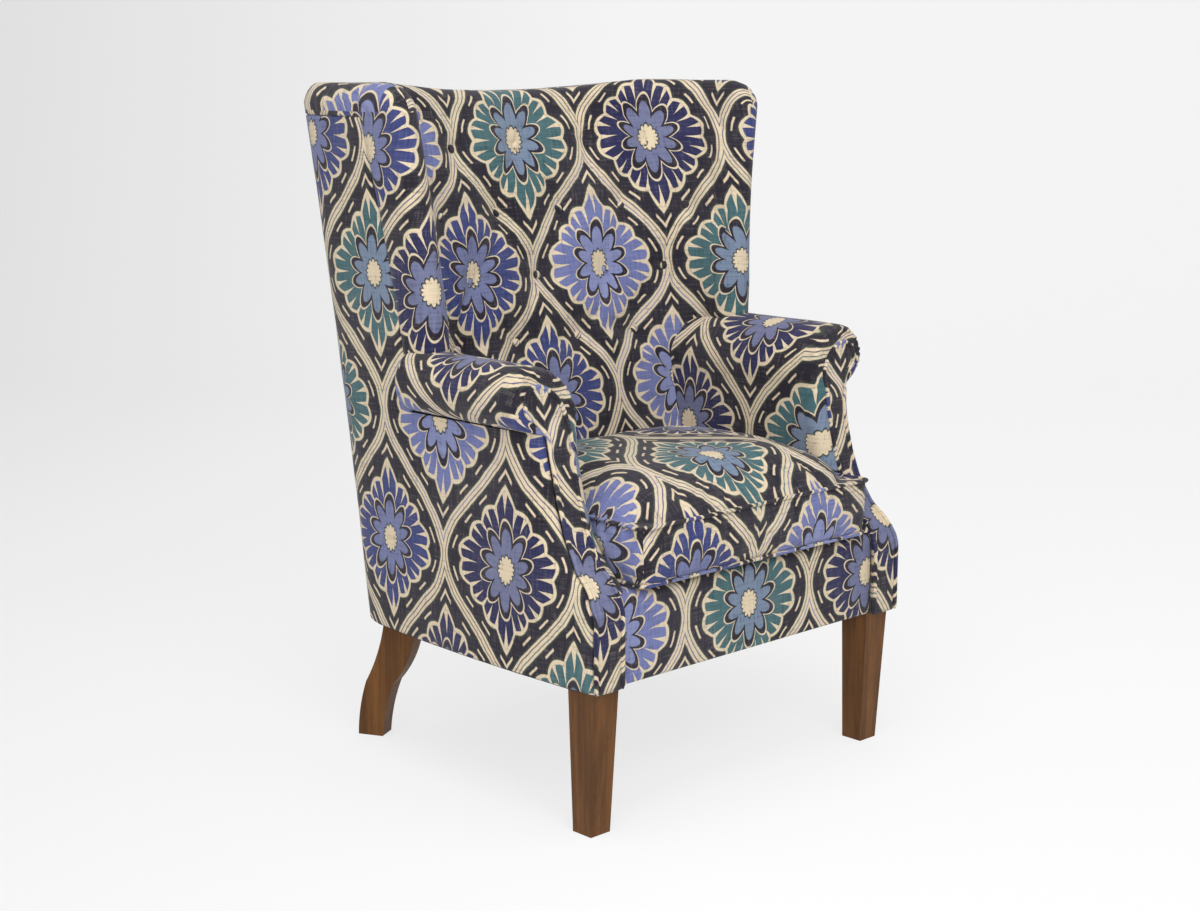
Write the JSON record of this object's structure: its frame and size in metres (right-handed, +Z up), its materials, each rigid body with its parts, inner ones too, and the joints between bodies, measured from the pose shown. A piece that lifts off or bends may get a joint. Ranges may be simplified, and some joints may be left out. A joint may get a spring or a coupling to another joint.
{
  "type": "upholstered wing armchair",
  "caption": "High-backed upholstered wing armchair with rolled arms, buttoned curved back, loose piped seat cushion, tapered front legs and curved rear legs.",
  "frame": {"origin": "on the floor, under the middle of the chair's overall box", "axes": "+X across the chair, towards the right as seen from the front; +Y from the front to the rear; +Z up"},
  "size_m": [0.767, 0.647, 1.035],
  "materials": {
    "printed_linen": "large printed pattern in sand, blue, lavender and teal on charcoal linen, matte",
    "leg_wood": "mid-brown stain, satin",
    "frame_wood": "plain sawn hardwood",
    "steel": "plain",
    "webbing": "woven strap",
    "hessian": "coarse weave",
    "dust_cloth": "thin black cloth",
    "filling": "wadded filling",
    "zip_tape": "woven tape",
    "zip_metal": "dull brass"
  },
  "bodies": {
    "frame": {"front_leg_left": "leg_wood", "front_leg_right": "leg_wood", "rear_leg_left": "leg_wood", "rear_leg_right": "leg_wood", "leg_studs": "steel", "outside_panel_left": "printed_linen", "outside_panel_right": "printed_linen", "outside_back": "printed_linen", "arm_pad_left": "printed_linen", "arm_pad_right": "printed_linen", "arm_facing_left": "printed_linen", "arm_facing_right": "printed_linen", "facing_piping_left": "printed_linen", "facing_piping_right": "printed_linen", "front_post_left": "frame_wood", "front_post_right": "frame_wood", "back_post_left": "frame_wood", "back_post_right": "frame_wood", "seat_rail_front": "frame_wood", "seat_rail_rear": "frame_wood", "seat_rail_left": "frame_wood", "seat_rail_right": "frame_wood", "corner_blocks": "frame_wood", "rear_leg_blocks": "frame_wood", "top_rail": "frame_wood", "lower_back_rail": "frame_wood", "arm_board_left": "frame_wood", "arm_board_right": "frame_wood", "wing_board_left": "frame_wood", "wing_board_right": "frame_wood", "inside_back": "printed_linen", "back_buttons": "printed_linen", "seat_webbing": "webbing", "seat_cross_webbing": "webbing", "back_webbing": "webbing", "back_hessian": "hessian", "seat_hessian": "hessian", "seat_deck": "printed_linen", "front_border": "printed_linen", "dust_cover": "dust_cloth"},
    "cushion": {"cushion_cover": "printed_linen", "cushion_filling": "filling", "cushion_piping_top": "printed_linen", "cushion_piping_bottom": "printed_linen", "cushion_zip": "zip_tape"},
    "zip_slider": {"zip_slider": "zip_metal"}
  },
  "joints": [
    {"name": "cushion_lift", "type": "slide", "parent": "frame", "child": "cushion", "axis": [0, 0, 1], "range_m": [0, 0.32]},
    {"name": "zip_slide", "type": "slide", "parent": "cushion", "child": "zip_slider", "axis": [-1, 0, 0], "range_m": [0, 0.33]}
  ]
}
